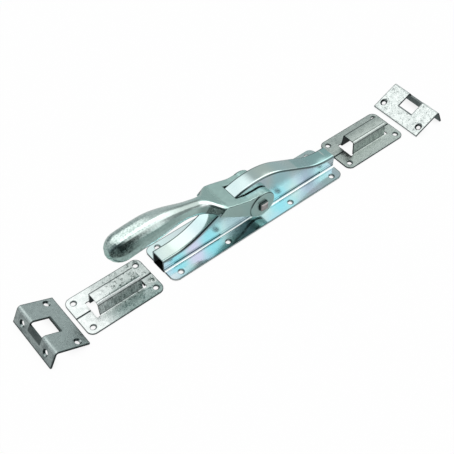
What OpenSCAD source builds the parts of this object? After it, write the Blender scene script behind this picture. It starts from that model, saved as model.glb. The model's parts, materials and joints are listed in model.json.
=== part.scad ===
// Lever espagnolette for a door or shutter, laid out as a set:
// a pressed case with its fork lever, two rod guides and two angled strikes.
// X runs along the rods, Y across the case, Z away from the door; millimetres.
// The origin is the middle of the case's screw holes, on the mounting plane.

/* [Case] */
// Length of the case
case_l = 251; // [240:1:280]
// Width of the case over its flanges
case_w = 57; // [54:1:70]
// Thickness of the pressed sheet
sheet = 2; // [1.6:0.1:2.2]
// Radius of the flange corners
corner_r = 8; // [3:0.5:10]
// Distance of the outer screw holes from the case's ends
screw_inset = 13.5; // [11:0.5:20]
// Spacing of the inner screw holes along the case
screw_near = 92.6; // [70:0.1:120]
// Spacing of the screw holes across the case
screw_across = 43.2; // [40:0.1:46]
// Diameter of the screw holes
screw_d = 6; // [4:0.1:7]

/* [Hump] */
// Width of the hump over its walls
hump_w = 20.6; // [20:0.1:23]
// Height of the hump at its open ends
end_h = 18.5; // [17.5:0.1:21]
// Height of the hump at its crown
top_h = 56.5; // [56:0.1:64]
// Place of the crown along the case
hump_x = 5; // [3:0.5:6]
// Radius of the crown
crown_r = 85; // [80:1:90]
// Radius of the hollow curve at each foot
foot_r = 80; // [60:1:85]
// Slope of the flanks
flank_a = 26.6; // [25:0.1:28]
// Outside radius of the bends along the top
bend_r = 3; // [2.6:0.1:3.4]
// Radius where the walls meet the flanges
fillet_r = 2; // [1:0.1:2.4]
// Length of each pressed guide rail
rail_l = 65; // [60:1:68]
// Height of a rail
rail_h = 3; // [2.4:0.1:3.4]
// Depth a rail is pressed in
rail_in = 1.2; // [0.8:0.1:1.4]
// Height of the rails' middle
rail_z = 5.6; // [5.4:0.1:7]
// Distance of the left rails' middle from the crown
rail_left = 85; // [83:0.5:87]
// Distance of the right rails' middle from the crown
rail_right = 67; // [65:0.5:69]

/* [Drive] */
// Place of the turning axis along the case
drive_x = 3; // [2:0.5:5]
// Height of the turning axis
drive_z = 29; // [28.5:0.1:29.2]
// Side of the square shaft
shaft_w = 10; // [8:0.1:10.2]
// How far the riveted shaft ends stand out
tenon_out = 4; // [2:0.1:6]
// Outside diameter of the bearing bushes
bush_d = 16.2; // [15.4:0.1:20]
// Radius of the studs' circle on the rocker
stud_r = 20; // [19.5:0.1:20.2]
// Diameter of a stud
stud_d = 7; // [6:0.1:7.2]
// Diameter of a stud's riveted shank
shank_d = 5; // [3:0.1:5.4]
// Thickness of the rocker
rocker_t = 6; // [4:0.1:6.4]
// Thickness of the driver plates
plate_t = 4; // [3:0.1:4.2]
// Swing of the lever in degrees
swing = 90; // [80:1:92]
// Length of a driver's rod block
block_l = 28; // [24:1:30]
// Height of a driver's rod block
block_h = 11.8; // [11:0.1:12.5]
// Length of the block's heel between the rails
heel_l = 12; // [11:0.5:14]
// Thickness of the block's roof over a rod
roof_t = 4; // [3:0.1:4.5]
// Diameter of the hole in the roof for a rod's bent-up end
hook_d = 9; // [6:0.1:9.5]

/* [Lever] */
// Radius of the lever's eyes
eye_r = 17.2; // [15:0.1:18]
// Width over the eyes
eye_w = 45; // [43:0.1:50]
// Bevel round the outer face of each eye
eye_bevel = 0.8; // [0.4:0.1:1]
// Width over the cheeks of the fork
fork_w = 42; // [38:0.1:42.5]
// Distance from the axis to the bottom of the fork
crotch_back = 30; // [29:0.1:34]
// Distance from the axis back to the shoulder
shoulder_back = 49; // [46:0.5:52]
// Height of the shoulder over the axis
shoulder_up = 28.2; // [27.4:0.1:30]
// Distance from the axis back to the heel
heel_back = 60.5; // [58:0.5:63]
// Height of the heel over the axis
heel_up = 20.5; // [19:0.1:22]
// Distance from the axis to the tip of the grip
grip_reach = 189; // [170:1:205]
// Height of the grip's tip over the axis
tip_up = 37; // [33:0.5:44]
// Diameter of the neck
neck_d = 18; // [15:0.1:20]
// Largest diameter of the grip
grip_d = 31; // [26:0.1:34]

/* [Guides] */
// Length of a rod guide
guide_l = 95; // [90:1:110]
// Width of a rod guide
guide_w = 54; // [50:1:64]
// Sheet thickness of a rod guide
guide_t = 1.5; // [1:0.1:2]
// Radius of a guide's corners
guide_r = 8; // [3:0.5:10]
// Width of the rod channel at its foot
channel_w = 21; // [19:0.1:23]
// Width of the rod channel at its top
channel_top = 18; // [15:0.1:19]
// Height of the rod channel
channel_h = 18.5; // [15:0.1:22]
// Length of the rod channel
channel_l = 54; // [44:1:56]
// Length of the relief cut at each end of the channel
relief_l = 4.6; // [3:0.1:5]
// Width of the seam between the end tabs
seam_w = 0.8; // [0.4:0.1:1.5]
// Spacing of the guide's screw holes along it
guide_screw_l = 79.2; // [74:0.1:81]
// Spacing of the guide's screw holes across it
guide_screw_w = 37.6; // [36:0.1:41]
// Diameter of the guide's screw holes
guide_screw_d = 5.8; // [4:0.1:6.4]

/* [Strikes] */
// Length of a strike along its fold
strike_l = 72; // [68:0.5:90]
// Length of the long leg
long_leg = 41.5; // [38:0.5:50]
// Length of the short leg
short_leg = 22; // [19:0.5:26]
// Sheet thickness of a strike
strike_t = 2.2; // [1.5:0.1:2.6]
// Outside radius of the fold
fold_r = 4; // [2.8:0.1:4.4]
// Side of the square rod hole
rod_hole = 22; // [16:0.5:22.5]
// Spacing of the long leg's screw holes
long_screws = 59; // [52:0.5:61]
// Distance of those holes from the fold
long_screw_in = 30.5; // [29:0.5:32]
// Spacing of the short leg's screw holes
short_screws = 44.6; // [40:0.1:56]
// Distance of those holes from the fold
short_screw_in = 12.4; // [11.5:0.1:13]
// Diameter of a strike's screw holes
strike_screw_d = 5.2; // [4:0.1:5.6]
// Diameter of their countersinks
sink_d = 8.6; // [6.5:0.1:9]

/* [Layout] */
// Middle of the left guide
left_guide_at = [-184.8, -2.4];
// Middle of the right guide
right_guide_at = [184.8, -0.2];
// Outer edge of the left strike's long leg, and its middle across
left_strike_at = [-238, 0.7];
// Outer edge of the right strike's long leg, and its middle across
right_strike_at = [242.6, -2.2];

/* [Hidden] */
$fn = 64;

// Clearances: running fit of round parts, snug fit, side play and free gaps
run_fit = 0.05;
snug = 0.04;
play = 0.3;
slot_play = 1;
lever_gap = 0.6;
over = 1;
seat = 0.2;
skin = 0.02;

// Spacing of the outer screw holes along the case
screw_far = case_l - 2 * screw_inset;

// Hump curve: a crown arc, two straight flanks and two hollow foot arcs
wall_out = hump_w / 2;
wall_in = wall_out - sheet;
crown_z = top_h - crown_r;
foot_z = end_h + foot_r;
flank_l = (top_h - end_h - (crown_r + foot_r) * (1 - cos(flank_a))) / sin(flank_a);
foot_run = (crown_r + foot_r) * sin(flank_a) + flank_l * cos(flank_a);
leg_l = bend_r + 1.5;
wall_top = bend_r + 0.75;
rail_at = [hump_x - rail_left, hump_x + rail_right];

// Drive train levels and the rest position of the studs
rocker_half = rocker_t / 2;
plate_in = rocker_half + 0.4;
plate_out = plate_in + plate_t;
half_swing = swing / 2;
travel = 2 * stud_r * sin(half_swing);
stud_dx = stud_r * sin(half_swing);
stud_dz = stud_r * cos(half_swing);
arm_r = 4.8;
slot_half = stud_d / 2 + slot_play;
prong_w = 4.5;
shaft_sweep = shaft_w / sqrt(2) + 0.5;
block_z = 2.2;
block_top = block_z + block_h;
block_half = wall_in - play;
rail_deep = rail_in + play;
cheek_in = wall_out + 0.7;
lap = heel_l / 2;
block_out = 4;
left_block_x = rail_at[0] - block_out;
right_block_x = rail_at[1] + block_out;

// Lever outline seen from the side, measured from the turning axis
shoulder = [drive_x - shoulder_back, drive_z + shoulder_up];
heel = [drive_x - heel_back, drive_z + heel_up];
crotch_x = drive_x - crotch_back;
waist = [drive_x - eye_r, drive_z + eye_r + 0.7];
tip = [drive_x - grip_reach, drive_z + tip_up];
grip_root = [heel[0] + 10, heel[1] + 2];
grip_rings = 40;
grip_sides = 32;

// Strike lies like a tent on its two outer edges
tilt = atan2(short_leg - strike_t, long_leg - strike_t);
lift = long_leg * sin(tilt) + strike_t * cos(tilt);
edge_x = long_leg * cos(tilt) - strike_t * sin(tilt);

function arc(c, r, a0, a1, n) =
    [for (i = [0:n]) let (a = a0 + (a1 - a0) * i / n) [c[0] + r * cos(a), c[1] + r * sin(a)]];

// Points of the hump curve, moved d towards the inside; its arcs stop short by cut degrees
function hump_line(d, cut = 0) = concat(
    [[-case_l / 2, end_h - d]],
    arc([hump_x - foot_run, foot_z], foot_r + d, 270 + cut, 270 + flank_a - cut, 8),
    arc([hump_x, crown_z], crown_r - d, 90 + flank_a - cut, 90 - flank_a + cut, 21),
    arc([hump_x + foot_run, foot_z], foot_r + d, 270 - flank_a + cut, 270 - cut, 8),
    [[case_l / 2, end_h - d]]);

// Section of the hump's top: depth below the top face, and place across
function cap_points() = concat(
    [[leg_l, -wall_out]],
    arc([bend_r, bend_r - wall_out], bend_r, 270, 180, 6),
    arc([bend_r, wall_out - bend_r], bend_r, 180, 90, 6),
    [[leg_l, wall_out], [leg_l, wall_in]],
    arc([bend_r, wall_out - bend_r], bend_r - sheet, 90, 180, 6),
    arc([bend_r, bend_r - wall_out], bend_r - sheet, 180, 270, 6),
    [[leg_l, -wall_in]]);

// Outline with round corners, of size s
module rounded(s, r) {
    square([s[0] - 2 * r, s[1]], center = true);
    square([s[0], s[1] - 2 * r], center = true);
    for (x = [-1, 1], y = [-1, 1])
        translate([x * (s[0] / 2 - r), y * (s[1] / 2 - r)]) circle(r = r);
}

// Four holes on a rectangle
module hole_grid(s, d) {
    for (x = [-1, 1], y = [-1, 1]) translate([x * s[0] / 2, y * s[1] / 2]) circle(d = d);
}

// A side profile drawn in X and Z, from y0 to y1
module slab(y0, y1) {
    translate([0, y1, 0]) rotate([90, 0, 0]) linear_extrude(y1 - y0) children();
}

// A round bar across the case, from y0 to y1
module cross_bar(p, d, y0, y1) {
    translate([p[0], y1, p[1]]) rotate([90, 0, 0]) cylinder(d = d, h = y1 - y0);
}

// A square bar across the case, turned with the lever
module square_bar(w, y0, y1) {
    slab(y0, y1) translate([drive_x, drive_z]) square(w, center = true);
}

// Stations along the hump's top: place, height and slope
function arc_slopes(a0, a1, n) = [for (i = [0:n]) a0 + (a1 - a0) * i / n];
function foot_at(side, a) =
    [hump_x + side * (foot_run - foot_r * sin(a)), foot_z - foot_r * cos(a), -side * a];
function crown_at(a) = [hump_x - crown_r * sin(a), crown_z + crown_r * cos(a), a];
function hump_stations() = concat(
    [[-case_l / 2, end_h, 0]],
    [for (a = arc_slopes(0, flank_a, 9)) foot_at(-1, a)],
    [for (a = arc_slopes(flank_a, -flank_a, 22)) crown_at(a)],
    [for (a = arc_slopes(flank_a, 0, 9)) foot_at(1, a)],
    [[case_l / 2, end_h, 0]]);

// Bent top of the hump, carried along its curve
module hump_top() {
    section = cap_points();
    stations = hump_stations();
    n = len(section);
    m = len(stations);
    half = n / 2;
    points = [for (q = stations, p = section)
        [q[0] + sin(q[2]) * p[0], p[1], q[1] - cos(q[2]) * p[0]]];
    function next(j) = (j + 1) % n;
    sides = [for (i = [0:m - 2], j = [0:n - 1], k = [0, 1])
        let (a = i * n + j, b = i * n + next(j))
        k == 0 ? [a, b, a + n] : [b, b + n, a + n]];
    first = [for (j = [0:half - 2], k = [0, 1]) let (a = j, b = n - 1 - j)
        k == 0 ? [a, b, a + 1] : [a + 1, b, b - 1]];
    far = [for (t = first) [for (v = [2:-1:0]) t[v] + (m - 1) * n]];
    polyhedron(points, concat(sides, first, far));
}

// Long round-ended bead at the foot of a wall, from y0 to y1
module bead(x, h, y0, y1) {
    slab(y0, y1) translate([x, rail_z]) {
        square([rail_l - h, h], center = true);
        for (s = [-1, 1]) translate([s * (rail_l - h) / 2, 0]) circle(d = h);
    }
}

// Hollow corner between one wall and its flange
module foot_fillet() {
    translate([-case_l / 2, wall_out, sheet]) rotate([90, 0, 90]) linear_extrude(case_l)
        polygon(concat([[-seat, -seat], [fillet_r, -seat]],
            arc([fillet_r, fillet_r], fillet_r, 270, 180, 8), [[-seat, fillet_r]]));
}

// Pressed case: flanges, arched hump, guide rails and bearing holes
module housing() color("#a9c9cd") difference() {
    union() {
        linear_extrude(sheet) difference() {
            rounded([case_l, case_w], corner_r);
            square([case_l + 2 * over, 2 * wall_in], center = true);
            hole_grid([screw_far, screw_across], screw_d);
            hole_grid([screw_near, screw_across], screw_d);
        }
        hump_top();
        for (side = [-1, 1]) {
            wall_y = side > 0 ? wall_in : -wall_out;
            slab(wall_y + skin, wall_y + sheet - skin)
                polygon(concat(hump_line(wall_top, 1.3), [[case_l / 2, 0], [-case_l / 2, 0]]));
            rail_y = side > 0 ? wall_in - rail_in : -wall_in - seat;
            for (x = rail_at) bead(x, rail_h, rail_y, rail_y + rail_in + seat);
        }
        foot_fillet();
        mirror([0, 1, 0]) foot_fillet();
    }
    for (x = rail_at) {
        bead(x, rail_h - 2 * seat, wall_out - rail_in, wall_out + over);
        bead(x, rail_h - 2 * seat, -wall_out - over, rail_in - wall_out);
    }
    cross_bar([drive_x, drive_z], bush_d + 2 * run_fit, -wall_out - over, wall_out + over);
}

function smooth(a, b, t) = let (u = max(0, min(1, (t - a) / (b - a)))) u * u * (3 - 2 * u);
function bezier(p, t) = pow(1 - t, 3) * p[0] + 3 * pow(1 - t, 2) * t * p[1]
    + 3 * (1 - t) * t * t * p[2] + t * t * t * p[3];
function bezier_way(p, t) = (1 - t) * (1 - t) * (p[1] - p[0])
    + 2 * (1 - t) * t * (p[2] - p[1]) + t * t * (p[3] - p[2]);

// Grip: its axis rises from the fork and levels out over the hand
grip_axis = [grip_root, grip_root + [-0.27, 0.105] * (grip_root[0] - tip[0]),
    tip + [0.45, 0.09] * (grip_root[0] - tip[0]), tip];
grip_end = 0.9;

// Half width and half height of the grip at t, and how square its section is
function grip_body(t) = neck_d + (grip_d - neck_d) * smooth(0.3, 0.72, t);
function grip_cap(t) = t < grip_end ? 1 : sqrt(max(0, 1 - pow((t - grip_end) / (1 - grip_end), 2)));
function grip_half_w(t) = grip_cap(t) * (grip_body(t) + (fork_w - neck_d) * (1 - smooth(0, 0.17, t))) / 2;
function grip_half_h(t) = grip_cap(t) * (grip_body(t) - (neck_d - 13) * (1 - smooth(0, 0.2, t))) / 2;
function grip_square(t) = 2.2 + 3 * (1 - smooth(0, 0.25, t));
function grip_t(i) = let (u = i / (grip_rings - 1)) 0.998 * (1 - pow(1 - u, 1.5)) * 0.5 + 0.499 * u;

function curve_sign(v, k) = (v < 0 ? -1 : 1) * pow(abs(v), k);
function grip_ring(t) = let (c = bezier(grip_axis, t), w = bezier_way(grip_axis, t),
        n = [-w[1], w[0]] / norm(w), k = 2 / grip_square(t))
    [for (j = [0:grip_sides - 1]) let (a = 360 * j / grip_sides,
        y = grip_half_w(t) * curve_sign(cos(a), k), h = -grip_half_h(t) * curve_sign(sin(a), k))
        [c[0] + n[0] * h, y, c[1] + n[1] * h]];

module grip() {
    rings = [for (i = [0:grip_rings - 1]) each grip_ring(grip_t(i))];
    root_mid = len(rings);
    last = root_mid - grip_sides;
    points = concat(rings, [[grip_root[0], 0, grip_root[1]], [tip[0], 0, tip[1]]]);
    function next(j) = (j + 1) % grip_sides;
    faces = concat(
        [for (j = [0:grip_sides - 1]) [root_mid, next(j), j]],
        [for (i = [0:grip_rings - 2], j = [0:grip_sides - 1], half = [0, 1])
            let (a = i * grip_sides + j, b = i * grip_sides + next(j))
            half == 0 ? [a, b, a + grip_sides] : [b, b + grip_sides, a + grip_sides]],
        [for (j = [0:grip_sides - 1]) [root_mid + 1, last + j, last + next(j)]]);
    polyhedron(points, faces);
}

// Side outline of a cheek; its ends run into the eye, just inside its rim
module cheek_outline() {
    inner_r = eye_r - 0.5;
    axis = [drive_x, drive_z];
    away = axis - heel;
    lean = atan2(away[1], away[0]) - asin(inner_r / norm(away));
    low = axis + inner_r * [cos(lean - 90), sin(lean - 90)];
    polygon([heel, shoulder, waist, axis + [0, inner_r], axis, low]);
}

// Cast fork lever with its club grip
module handle_lever() color("#9fb3b1") difference() {
    union() {
        slab(-fork_w / 2, fork_w / 2) cheek_outline();
        cross_bar([drive_x, drive_z], 2 * eye_r, eye_bevel - eye_w / 2, eye_w / 2 - eye_bevel);
        for (side = [0, 1]) mirror([0, side, 0]) translate([drive_x, eye_w / 2 - eye_bevel, drive_z])
            rotate([-90, 0, 0]) cylinder(r1 = eye_r, r2 = eye_r - eye_bevel, h = eye_bevel);
        grip();
    }
    slab(-cheek_in, cheek_in)
        polygon(concat(hump_line(-lever_gap), [[case_l / 2, -over], [-case_l / 2, -over]]));
    slab(-cheek_in, cheek_in)
        translate([crotch_x, drive_z - 2 * eye_r]) square([crotch_back + 2 * eye_r, top_h + 2 * eye_r]);
    square_bar(shaft_w + 2 * snug, -eye_w, eye_w);
}

// Square shaft with its ends riveted over in the eyes
module drive_shaft() color("#b3a8a4") {
    half = eye_w / 2 + tenon_out;
    bevel = 1.2;
    square_bar(shaft_w, bevel - half, half - bevel);
    for (side = [0, 1]) mirror([0, side, 0]) translate([drive_x, half - bevel, drive_z])
        rotate([-90, 0, 0]) linear_extrude(bevel, scale = 1 - 2 * bevel / shaft_w)
            square(shaft_w, center = true);
}

// Bush pressed on the shaft, running in one wall
module bush() {
    difference() {
        cross_bar([drive_x, drive_z], bush_d, wall_in - play, cheek_in - play / 3);
        square_bar(shaft_w + 2 * snug, 0, cheek_in);
    }
}
module near_bush() color("#c2a45c") mirror([0, 1, 0]) bush();
module far_bush() color("#c2a45c") bush();

// Rocker on the shaft between the driver plates
module rocker() color("#8e9698") slab(-rocker_half, rocker_half) translate([drive_x, drive_z])
    rotate(90 + half_swing) difference() {
        union() {
            circle(r = shaft_w / sqrt(2) + 4);
            square([2 * stud_r, 2 * arm_r], center = true);
            for (s = [-1, 1]) translate([s * stud_r, 0]) circle(r = arm_r);
        }
        rotate(-90 - half_swing) square(shaft_w + 2 * snug, center = true);
        for (s = [-1, 1]) translate([s * stud_r, 0]) circle(d = shank_d + 2 * snug);
    }

// Shouldered stud riveted in the rocker, standing out to one side
module stud(p) {
    cross_bar(p, shank_d, -rocker_half, rocker_half + seat);
    cross_bar(p, stud_d, rocker_half, plate_out + seat);
}
module upper_stud() color("#c9cdce") stud([drive_x - stud_dx, drive_z + stud_dz]);
module lower_stud() color("#c9cdce") mirror([0, 1, 0]) stud([drive_x + stud_dx, drive_z - stud_dz]);

// Block that carries a rod: its heel runs between the rails, and the rod's bent-up end hooks
// into its roof from below; out is the way to the mouth of the case
module rod_block(x, out) {
    roof_z = block_top - roof_t;
    room_l = block_l - heel_l;
    difference() {
        translate([x - block_l / 2, -block_half, block_z]) cube([block_l, 2 * block_half, block_h]);
        for (side = [-1, 1]) translate([x, side * block_half, rail_z])
            cube([block_l + 2 * over, 2 * rail_deep, rail_h + 2 * play], center = true);
        translate([x + out * (heel_l + over) / 2, 0, (roof_z + block_z - over) / 2])
            cube([room_l + over, 2 * (block_half + over), roof_z - block_z + over], center = true);
        translate([x + out * heel_l / 2, 0, roof_z - over]) cylinder(d = hook_d, h = roof_t + 2 * over);
    }
}

// Left driver: a fork under the crown, an arm down the flank and a rod block
module left_driver() color("#7f8a8d") {
    fork_x = drive_x - stud_dx;
    fork_out = slot_half + prong_w;
    top = drive_z + stud_r + 0.5;
    floor_z = drive_z + stud_dz - stud_d / 2 - 0.4;
    under = drive_z + shaft_sweep;
    arm_x = drive_x - shaft_sweep - travel;
    slope = tan(flank_a);
    back = left_block_x + block_l / 2;
    end_x = back - lap;
    slab(plate_in, plate_out) polygon([
        [fork_x + fork_out, under], [fork_x + fork_out, top], [fork_x + slot_half, top],
        [fork_x + slot_half, floor_z], [fork_x - slot_half, floor_z], [fork_x - slot_half, top],
        [fork_x - fork_out, top], [fork_x - fork_out, floor_z + 5], [arm_x, floor_z + 3.5],
        [end_x, floor_z + 3.5 - slope * (arm_x - end_x)], [end_x, block_top - 2],
        [back + 2 * plate_t, block_top - 2], [arm_x, under]]);
    rod_block(left_block_x, -1);
}

// Right driver: a fork under the shaft, a straight bar and a rod block
module right_driver() color("#7f8a8d") {
    fork_x = drive_x + stud_dx;
    fork_out = slot_half + prong_w;
    top = drive_z - shaft_sweep;
    roof = drive_z - stud_dz + stud_d / 2 + 0.4;
    low = block_z + 3;
    bar_low = rail_z + rail_h / 2 + 2 * play;
    end_x = right_block_x - block_l / 2 + lap;
    slab(-plate_out, -plate_in) polygon([
        [fork_x - fork_out, low], [fork_x - fork_out, top], [fork_x + fork_out, top],
        [fork_x + fork_out + 4, block_top + 3], [end_x, block_top + 3], [end_x, bar_low],
        [fork_x + fork_out, bar_low], [fork_x + fork_out, low], [fork_x + slot_half, low],
        [fork_x + slot_half, roof], [fork_x - slot_half, roof], [fork_x - slot_half, low]]);
    rod_block(right_block_x, 1);
}

// Section of a guide's channel, with rounded bends and hollow feet
function channel_points() = let (lean = atan2((channel_w - channel_top) / 2, channel_h),
        hw = channel_w / 2, ht = channel_top / 2, r = 2.4, t = guide_t,
        bend = [ht - r / cos(lean) + r * tan(lean) - 0.2, channel_h - r], foot = 1.6)
    let (half = concat([[hw + foot, 0], [hw + foot, t]],
            arc([hw + foot, t + foot], foot, 270, 180 + lean, 5), arc(bend, r, lean, 90, 5)),
        inner = concat(arc(bend, r - t, 90, lean, 5), [[hw - t, 0]]))
    concat(half, [for (i = [len(half) - 1:-1:0]) [-half[i][0], half[i][1]]],
        [for (i = [len(inner) - 1:-1:0]) [-inner[i][0], inner[i][1]]], inner);

// Rod guide: one sheet folded to a channel, its end tabs meeting at a seam
module guide() {
    start = 2 - channel_l / 2;
    window_l = channel_l + 2 * relief_l;
    linear_extrude(guide_t) difference() {
        rounded([guide_l, guide_w], guide_r);
        hole_grid([guide_screw_l, guide_screw_w], guide_screw_d);
        square([guide_l + 2 * over, seam_w], center = true);
        translate([start, -channel_w / 2 + guide_t]) square([channel_l, channel_w - 2 * guide_t]);
        for (x = [start - relief_l, start + channel_l])
            translate([x, -channel_w / 2 - 1.2]) square([relief_l, channel_w + 2.4]);
    }
    translate([start, 0, 0]) rotate([90, 0, 90]) linear_extrude(channel_l) polygon(channel_points());
}
module left_guide() color("#c3c9c6") translate(left_guide_at) guide();
module right_guide() color("#a4ada9") translate(right_guide_at) guide();

// Countersunk hole through a leg whose outer face is at z = 0
module sunk_hole() {
    sink = (sink_d - strike_screw_d) / 2;
    translate([0, 0, -strike_t - over]) cylinder(d = strike_screw_d, h = strike_t + 2 * over);
    translate([0, 0, -sink]) cylinder(d1 = strike_screw_d, d2 = sink_d, h = sink);
    cylinder(d = sink_d, h = over);
}

// Folded strike: its long leg runs along X and its short leg down
module strike_plate() {
    difference() {
        slab(-strike_l / 2, strike_l / 2) polygon(concat(
            [[long_leg, 0]], arc([fold_r, -fold_r], fold_r, 90, 180, 8),
            [[0, -short_leg], [strike_t, -short_leg]],
            arc([fold_r, -fold_r], fold_r - strike_t, 180, 90, 8), [[long_leg, -strike_t]]));
        translate([-over, -rod_hole / 2, -fold_r - 0.5])
            cube([rod_hole + over, rod_hole, fold_r + over + 0.5]);
        for (side = [-1, 1]) {
            translate([long_screw_in, side * long_screws / 2, 0]) sunk_hole();
            translate([0, side * short_screws / 2, -short_screw_in]) rotate([0, -90, 0]) sunk_hole();
        }
    }
}

// Strike lying on its outer edges, the long leg's edge at x = 0
module strike() {
    translate([-edge_x, 0, lift]) rotate([0, tilt, 0]) strike_plate();
}
module left_strike() color("#8d9a98") translate(left_strike_at) strike();
module right_strike() color("#cfd6d3") translate(right_strike_at) mirror([1, 0, 0]) strike();

housing();
handle_lever();
drive_shaft();
near_bush();
far_bush();
rocker();
upper_stud();
lower_stud();
left_driver();
right_driver();
left_guide();
right_guide();
left_strike();
right_strike();
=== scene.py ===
"""Looks of the lever espagnolette: finishes of the pressed, cast and folded pieces, and the studio."""

import json
import math

import bmesh
import bpy
from mathutils import Matrix, Vector


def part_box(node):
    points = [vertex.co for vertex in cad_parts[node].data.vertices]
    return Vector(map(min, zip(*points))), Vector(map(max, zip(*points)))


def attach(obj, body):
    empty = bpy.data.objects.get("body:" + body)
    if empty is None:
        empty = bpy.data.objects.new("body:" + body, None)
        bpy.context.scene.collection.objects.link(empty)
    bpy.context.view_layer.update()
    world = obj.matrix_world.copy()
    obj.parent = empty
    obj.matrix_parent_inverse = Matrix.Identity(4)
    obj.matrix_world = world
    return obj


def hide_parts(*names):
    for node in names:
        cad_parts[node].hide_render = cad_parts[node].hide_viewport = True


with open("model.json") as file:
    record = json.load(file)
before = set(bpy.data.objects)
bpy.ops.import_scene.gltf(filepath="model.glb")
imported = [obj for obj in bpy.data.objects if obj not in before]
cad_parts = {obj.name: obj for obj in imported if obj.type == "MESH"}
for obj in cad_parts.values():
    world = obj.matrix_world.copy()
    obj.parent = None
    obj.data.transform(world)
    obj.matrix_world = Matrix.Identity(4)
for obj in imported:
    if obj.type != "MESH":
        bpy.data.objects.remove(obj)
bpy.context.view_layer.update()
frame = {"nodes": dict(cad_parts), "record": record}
nodes = frame["nodes"]


# The case: one pressed steel sheet, its arched hump open at both ends and underneath.
# It is bright zinc plate with a blue passivation, so its colour drifts from cyan to lilac
# over fine drawing marks; its cut edges are bare and the plate is thin. Painted shade darkens
# its cut edges, bends, rims, groove lines and the inside of the hump, and painted highlights
# lie along its fold and across its top near the right end.
def put(tree, kind, settings=(), **sockets):
    """Adds a node, sets its options, and fills its sockets with values or links."""
    made = tree.nodes.new(kind)
    for name, value in dict(settings).items():
        setattr(made, name, value)
    for name, value in sockets.items():
        key = int(name[1:]) if name[0] == "i" and name[1:].isdigit() else name.replace("_", " ")
        if isinstance(value, bpy.types.NodeSocket):
            tree.links.new(value, made.inputs[key])
        else:
            made.inputs[key].default_value = value
    return made


def tinted(tree, factor, low, high):
    """Colour between low and high, by the factor."""
    return put(tree, "ShaderNodeMix", {"data_type": "RGBA"}, i0=factor, i6=low, i7=high).outputs[2]


def span(tree, value, from_low, from_high, low=0.0, high=1.0):
    """The value carried smoothly from one range to another and held inside it."""
    return put(tree, "ShaderNodeMapRange", {"interpolation_type": "SMOOTHSTEP"}, i0=value, i1=from_low,
               i2=from_high, i3=low, i4=high).outputs[0]


def calc(tree, kind, a, b=0.0):
    """One sum of two values: ADD, MULTIPLY, MAXIMUM, ABSOLUTE and so on."""
    return put(tree, "ShaderNodeMath", {"operation": kind}, i0=a, i1=b).outputs[0]


def size_of(tree, value):
    """The value without its sign."""
    return calc(tree, "ABSOLUTE", value)


def apart(tree, a, b):
    """How far two values are from each other."""
    return size_of(tree, calc(tree, "SUBTRACT", a, b))


def either(tree, first, *others):
    """The strongest of these masks or amounts."""
    for other in others:
        first = calc(tree, "MAXIMUM", first, other)
    return first


def times(tree, first, *others):
    """Masks or amounts multiplied together."""
    for other in others:
        first = calc(tree, "MULTIPLY", first, other)
    return first


def effect(name, inputs, outputs):
    """An empty node group with these float inputs and outputs, and its two end nodes."""
    tree = bpy.data.node_groups.new(name, "ShaderNodeTree")
    for label, value in inputs.items():
        made = tree.interface.new_socket(name=label, in_out="INPUT", socket_type="NodeSocketFloat")
        made.default_value = value
    for label in outputs:
        tree.interface.new_socket(name=label, in_out="OUTPUT", socket_type="NodeSocketFloat")
    return tree, tree.nodes.new("NodeGroupInput").outputs, tree.nodes.new("NodeGroupOutput").inputs


def place(tree, group, **values):
    """The shared effect in this material, with its own values."""
    made = tree.nodes.new("ShaderNodeGroup")
    made.node_tree = group
    for name, value in values.items():
        made.inputs[name.replace("_", " ")].default_value = value
    return made.outputs


def where_on(tree, stretch=(1.0, 1.0, 1.0), turn=(0.0, 0.0, 0.0)):
    """Places on the piece in metres, turned and drawn out along the axes."""
    found = tree.nodes.new("ShaderNodeTexCoord").outputs["Object"]
    return put(tree, "ShaderNodeMapping", i0=found, i2=turn, i3=stretch).outputs[0]


def noise(tree, where, scale, detail=3.0, rough=0.55, warp=0.0):
    """Plain noise between nought and one."""
    return put(tree, "ShaderNodeTexNoise", Vector=where, Scale=scale, Detail=detail, Roughness=rough,
               Distortion=warp).outputs["Fac"]


def face_directions():
    """Which way each face of the piece looks, and where it lies, in the piece's own axes."""
    labels = ("Along", "Across", "Up", "X", "Y", "Z")
    tree, _, end = effect("face directions", {}, labels)
    found = tree.nodes.new("ShaderNodeTexCoord").outputs
    way = put(tree, "ShaderNodeSeparateXYZ", i0=found["Normal"]).outputs
    spot = put(tree, "ShaderNodeSeparateXYZ", i0=found["Object"]).outputs
    for label, source in zip(labels, (*way, *spot)):
        tree.links.new(source, end[label])
    return tree


def drawing_marks():
    """Fine marks along the sheet, with a few longer scratches."""
    tree, start, end = effect("drawing marks", {"Scale": 900.0}, ["Mark", "Scratch"])
    tree.links.new(noise(tree, where_on(tree, (0.03, 1.0, 1.0)), start["Scale"], 2.0), end["Mark"])
    skew = where_on(tree, (0.06, 1.0, 1.0), (0.2, 0.1, 0.5))
    tree.links.new(span(tree, noise(tree, skew, 420.0, 1.0), 0.70, 0.76), end["Scratch"])
    return tree


def plate_clouds():
    """Soft clouds of the passivation's colour."""
    tree, start, end = effect("plate clouds", {"Scale": 14.0}, ["Blue", "Lilac", "Dull"])
    where = where_on(tree, (1.0, 0.45, 0.45))
    kinds = (("Blue", 0.0, 0.40, 0.60), ("Lilac", 3.7, 0.50, 0.66), ("Dull", 9.1, 0.48, 0.72))
    for label, seed, low, high in kinds:
        moved = put(tree, "ShaderNodeVectorMath", {"operation": "ADD"}, i0=where, i1=(seed, seed, seed))
        cloud = noise(tree, moved.outputs[0], start["Scale"], 2.0, 0.5, 0.6)
        tree.links.new(span(tree, cloud, low, high), end[label])
    return tree


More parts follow.
